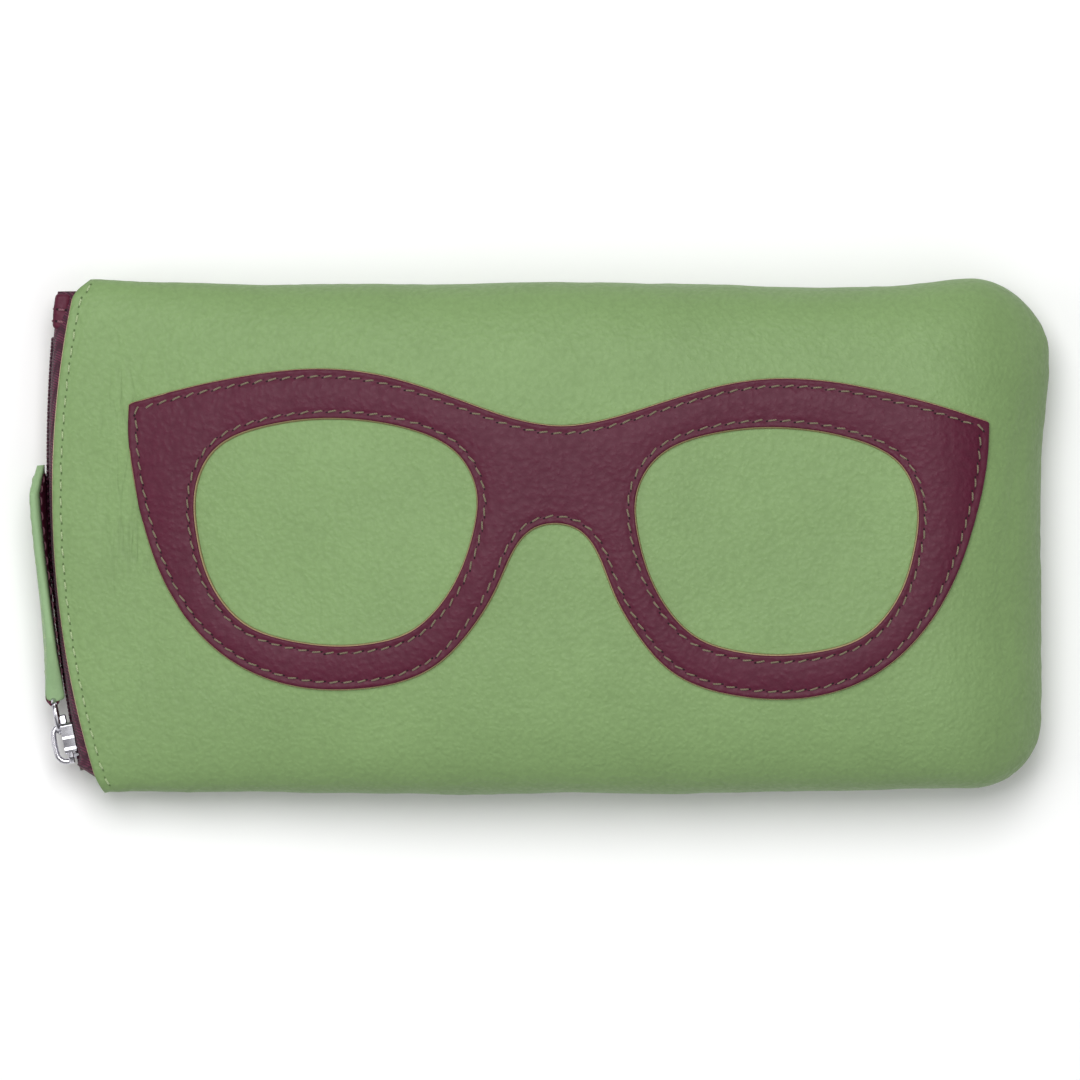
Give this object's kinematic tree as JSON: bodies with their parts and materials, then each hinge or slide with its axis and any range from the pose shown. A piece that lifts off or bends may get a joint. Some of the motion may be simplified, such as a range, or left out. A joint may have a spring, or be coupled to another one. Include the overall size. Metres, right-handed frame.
{
  "type": "zip glasses case",
  "caption": "Soft padded leather case for glasses with a zip along one short end, a leather pull and a glasses-shaped applique.",
  "frame": {"origin": "middle of the underside of the whole part, on the surface that it lies on", "axes": "+X along the case towards its closed end, +Y across it towards the end of the zip with the leather tab, +Z out of the front panel"},
  "size_m": [0.18, 0.0908, 0.0277],
  "materials": {
    "green_leather": "fine pebble grain, satin",
    "maroon_leather": "fine pebble grain, satin",
    "padding": "needled felt",
    "lining": "woven cloth, matt",
    "green_thread": "twisted thread",
    "olive_thread": "twisted thread",
    "maroon_thread": "twisted thread",
    "zip_tape": "herringbone tape",
    "zip_coil": "moulded monofilament",
    "bright_metal": "polished nickel plate"
  },
  "bodies": {
    "case": {"front_leather_panel": "green_leather", "back_leather_panel": "green_leather", "front_padding": "padding", "back_padding": "padding", "front_lining": "lining", "back_lining": "lining", "spectacle_applique": "maroon_leather", "applique_outline_thread": "olive_thread", "applique_left_lens_thread": "olive_thread", "applique_right_lens_thread": "olive_thread", "front_mouth_thread": "green_thread", "back_mouth_thread": "green_thread", "front_zip_tape": "zip_tape", "back_zip_tape": "zip_tape", "front_zip_coil": "zip_coil", "back_zip_coil": "zip_coil", "zip_end_stops": "bright_metal", "zip_end_tab": "maroon_leather", "zip_end_tab_thread": "maroon_thread"},
    "slider": {"slider_body": "bright_metal", "slider_crown": "bright_metal"},
    "ring": {"pull_ring": "bright_metal"},
    "pull": {"pull_facing": "green_leather", "pull_backing": "maroon_leather", "pull_thread": "green_thread"}
  },
  "joints": [
    {"name": "slider_travel", "type": "hinge", "parent": "case", "child": "slider", "pos_m": [0.1784, 0.0138, 0.008], "axis": [0, 0, -1], "range_deg": [0, 14.6]},
    {"name": "ring_swing", "type": "hinge", "parent": "slider", "child": "ring", "pos_m": [-0.08394, -0.03451, 0.008], "axis": [0, 0, 1], "range_deg": [0, 100]},
    {"name": "pull_swing", "type": "hinge", "parent": "ring", "child": "pull", "pos_m": [-0.0851, -0.02842, 0.008], "axis": [0, 0, 1], "range_deg": [0, 75]}
  ]
}
